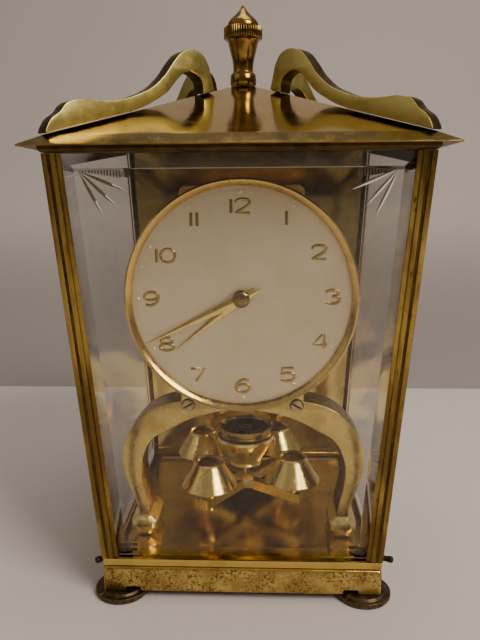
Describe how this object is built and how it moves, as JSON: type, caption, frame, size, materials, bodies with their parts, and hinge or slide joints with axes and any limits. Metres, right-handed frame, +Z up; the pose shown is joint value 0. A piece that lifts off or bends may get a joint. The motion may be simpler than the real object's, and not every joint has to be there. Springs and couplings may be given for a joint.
{
  "type": "anniversary clock",
  "caption": "Torsion-pendulum anniversary clock: arch-mounted movement, round dial and four-weight rotating pendulum in a tapered brass and glass lantern case that lifts off.",
  "frame": {"origin": "centre of the footprint on the table, under the pendulum's axis", "axes": "+Z up along the pendulum's axis; the dial faces -Y; +X to the right seen from the front"},
  "size_m": [0.1602, 0.1602, 0.2623],
  "materials": {
    "polished_brass": "polished, lightly tarnished",
    "cast_brass": "satin casting, greenish yellow",
    "plinth_brass": "speckled brown tarnish",
    "bronzed_brass": "dark bronzed",
    "bevelled_glass": "clear, bevelled edge",
    "bright_steel": "bright",
    "black_steel": "blackened",
    "dial_silver": "matt silvered",
    "gilt_hand": "gilt"
  },
  "bodies": {
    "base": {"plinth": "plinth_brass", "floor_plate": "polished_brass", "movement_arch": "cast_brass", "arch_screw_left": "bright_steel", "arch_screw_right": "bright_steel", "front_plate": "polished_brass", "back_plate": "polished_brass", "dial": "dial_silver", "bezel": "polished_brass", "suspension_saddle": "polished_brass", "suspension_spring": "bright_steel"},
    "case": {"bottom_rail": "polished_brass", "post_front_left": "polished_brass", "post_front_right": "polished_brass", "post_rear_left": "polished_brass", "post_rear_right": "polished_brass", "top_rail": "polished_brass", "glass_front": "bevelled_glass", "glass_left": "bevelled_glass", "glass_right": "bevelled_glass", "rear_panel": "polished_brass", "roof": "polished_brass", "bracket_front_left": "cast_brass", "bracket_front_right": "cast_brass", "bracket_rear_left": "cast_brass", "bracket_rear_right": "cast_brass", "finial": "polished_brass"},
    "foot_front_left": {"foot_front_left": "bronzed_brass"},
    "foot_front_right": {"foot_front_right": "bronzed_brass"},
    "foot_rear_left": {"foot_rear_left": "bronzed_brass"},
    "foot_rear_right": {"foot_rear_right": "bronzed_brass"},
    "catch_left": {"catch_lever_left": "black_steel"},
    "catch_right": {"catch_lever_right": "black_steel"},
    "pendulum": {"pendulum_hook": "polished_brass", "pendulum_hub": "polished_brass", "pendulum_arms": "polished_brass"},
    "regulator": {"regulator_disc": "bronzed_brass"},
    "weight_rear_right": {"weight_rear_right": "polished_brass"},
    "weight_rear_left": {"weight_rear_left": "polished_brass"},
    "weight_front_left": {"weight_front_left": "polished_brass"},
    "weight_front_right": {"weight_front_right": "polished_brass"},
    "fork": {"suspension_fork": "polished_brass"},
    "anchor": {"anchor": "bright_steel"},
    "centre": {"centre_arbor": "polished_brass", "cannon_pinion": "polished_brass", "minute_hand": "gilt_hand", "hand_nut": "bronzed_brass"},
    "hour": {"hour_wheel": "polished_brass", "hour_hand": "gilt_hand"},
    "minute_wheel": {"minute_wheel": "polished_brass"},
    "third_wheel": {"third_wheel": "polished_brass"},
    "second_wheel": {"second_wheel": "polished_brass"},
    "barrel": {"barrel": "polished_brass"},
    "fourth_wheel": {"fourth_wheel": "polished_brass"},
    "escape_wheel": {"escape_wheel": "polished_brass"},
    "winding": {"winding_arbor": "bright_steel", "ratchet_wheel": "bright_steel"},
    "click": {"click": "bright_steel"}
  },
  "joints": [
    {"name": "case_lift", "type": "slide", "parent": "base", "child": "case", "axis": [0, 0, 1], "range_m": [0, 0.2]},
    {"name": "foot_front_left_turn", "type": "hinge", "parent": "base", "child": "foot_front_left", "pos_m": [-0.0544, -0.0544, 0.002], "axis": [0, 0, 1], "range_deg": [-720, 720]},
    {"name": "foot_front_right_turn", "type": "hinge", "parent": "base", "child": "foot_front_right", "pos_m": [0.0544, -0.0544, 0.002], "axis": [0, 0, 1], "range_deg": [-720, 720]},
    {"name": "foot_rear_left_turn", "type": "hinge", "parent": "base", "child": "foot_rear_left", "pos_m": [-0.0544, 0.0544, 0.002], "axis": [0, 0, 1], "range_deg": [-720, 720]},
    {"name": "foot_rear_right_turn", "type": "hinge", "parent": "base", "child": "foot_rear_right", "pos_m": [0.0544, 0.0544, 0.002], "axis": [0, 0, 1], "range_deg": [-720, 720]},
    {"name": "catch_left_turn", "type": "hinge", "parent": "base", "child": "catch_left", "pos_m": [-0.053, -0.0506, 0.0174], "axis": [0, 0, 1], "range_deg": [-67, 2]},
    {"name": "catch_right_turn", "type": "hinge", "parent": "base", "child": "catch_right", "pos_m": [0.053, -0.0506, 0.0174], "axis": [0, 0, 1], "range_deg": [-21, 48]},
    {"name": "pendulum_swing", "type": "hinge", "parent": "base", "child": "pendulum", "pos_m": [0, 0, 0.05], "axis": [0, 0, 1], "range_deg": [-135, 135], "stiffness_Nm_per_rad": 0.00009},
    {"name": "regulator_turn", "type": "hinge", "parent": "pendulum", "child": "regulator", "pos_m": [0, 0, 0.057], "axis": [0, 0, 1], "range_deg": [-90.2, 90.2]},
    {"name": "weight_rear_right_slide", "type": "slide", "parent": "pendulum", "child": "weight_rear_right", "axis": [0.5736, 0.8192, 0], "range_m": [-0.0015, 0.0015]},
    {"name": "weight_rear_left_slide", "type": "slide", "parent": "pendulum", "child": "weight_rear_left", "axis": [-0.8192, 0.5736, 0], "range_m": [-0.0015, 0.0015]},
    {"name": "weight_front_left_slide", "type": "slide", "parent": "pendulum", "child": "weight_front_left", "axis": [-0.5736, -0.8192, 0], "range_m": [-0.0015, 0.0015]},
    {"name": "weight_front_right_slide", "type": "slide", "parent": "pendulum", "child": "weight_front_right", "axis": [0.8192, -0.5736, 0], "range_m": [-0.0015, 0.0015]},
    {"name": "fork_twist", "type": "hinge", "parent": "base", "child": "fork", "pos_m": [0, 0, 0.174], "axis": [0, 0, 1], "range_deg": [-5.24, 5.24]},
    {"name": "anchor_rock", "type": "hinge", "parent": "base", "child": "anchor", "pos_m": [0, -0.012, 0.16153], "axis": [0, 1, 0], "range_deg": [-1.84, 1.84]},
    {"name": "minute_turn", "type": "hinge", "parent": "base", "child": "centre", "pos_m": [0, -0.02, 0.1328], "axis": [0, 1, 0], "continuous": true},
    {"name": "hour_turn", "type": "hinge", "parent": "base", "child": "hour", "pos_m": [0, -0.02, 0.1328], "axis": [0, 1, 0], "continuous": true},
    {"name": "minute_wheel_turn", "type": "hinge", "parent": "base", "child": "minute_wheel", "pos_m": [-0.00848, -0.02, 0.12431], "axis": [0, 1, 0], "continuous": true},
    {"name": "third_wheel_turn", "type": "hinge", "parent": "base", "child": "third_wheel", "pos_m": [0.01349, -0.02, 0.13328], "axis": [0, 1, 0], "continuous": true},
    {"name": "second_wheel_turn", "type": "hinge", "parent": "base", "child": "second_wheel", "pos_m": [0.01143, -0.02, 0.1169], "axis": [0, 1, 0], "continuous": true},
    {"name": "barrel_turn", "type": "hinge", "parent": "base", "child": "barrel", "pos_m": [-0.007, -0.02, 0.104], "axis": [0, 1, 0], "continuous": true},
    {"name": "fourth_wheel_turn", "type": "hinge", "parent": "base", "child": "fourth_wheel", "pos_m": [-0.00723, -0.02, 0.14312], "axis": [0, 1, 0], "continuous": true},
    {"name": "escape_wheel_turn", "type": "hinge", "parent": "base", "child": "escape_wheel", "pos_m": [0, -0.02, 0.15003], "axis": [0, 1, 0], "continuous": true},
    {"name": "winding_turn", "type": "hinge", "parent": "base", "child": "winding", "pos_m": [-0.007, -0.005, 0.104], "axis": [0, 1, 0], "range_deg": [0, 1440]},
    {"name": "click_lift", "type": "hinge", "parent": "base", "child": "click", "pos_m": [0.0075, -0.005, 0.0985], "axis": [0, 1, 0], "range_deg": [0, 12]}
  ],
  "couplings": [
    {"joint": "fork_twist", "follows": "pendulum_swing", "ratio": 0.03733},
    {"joint": "anchor_rock", "follows": "pendulum_swing", "ratio": 0.012875},
    {"joint": "regulator_turn", "follows": "weight_front_left_slide", "rad_per_m": 1046.2},
    {"joint": "weight_rear_right_slide", "follows": "weight_front_left_slide", "ratio": 0.999},
    {"joint": "weight_rear_left_slide", "follows": "weight_front_left_slide", "ratio": 0.999},
    {"joint": "weight_front_right_slide", "follows": "weight_front_left_slide", "ratio": 0.999},
    {"joint": "hour_turn", "follows": "minute_turn", "ratio": 0.083333},
    {"joint": "minute_wheel_turn", "follows": "minute_turn", "ratio": -0.33333},
    {"joint": "third_wheel_turn", "follows": "minute_turn", "ratio": -0.11111},
    {"joint": "second_wheel_turn", "follows": "minute_turn", "ratio": 0.012346},
    {"joint": "barrel_turn", "follows": "minute_turn", "ratio": -0.0013717},
    {"joint": "fourth_wheel_turn", "follows": "minute_turn", "ratio": -6},
    {"joint": "escape_wheel_turn", "follows": "minute_turn", "ratio": 24}
  ]
}
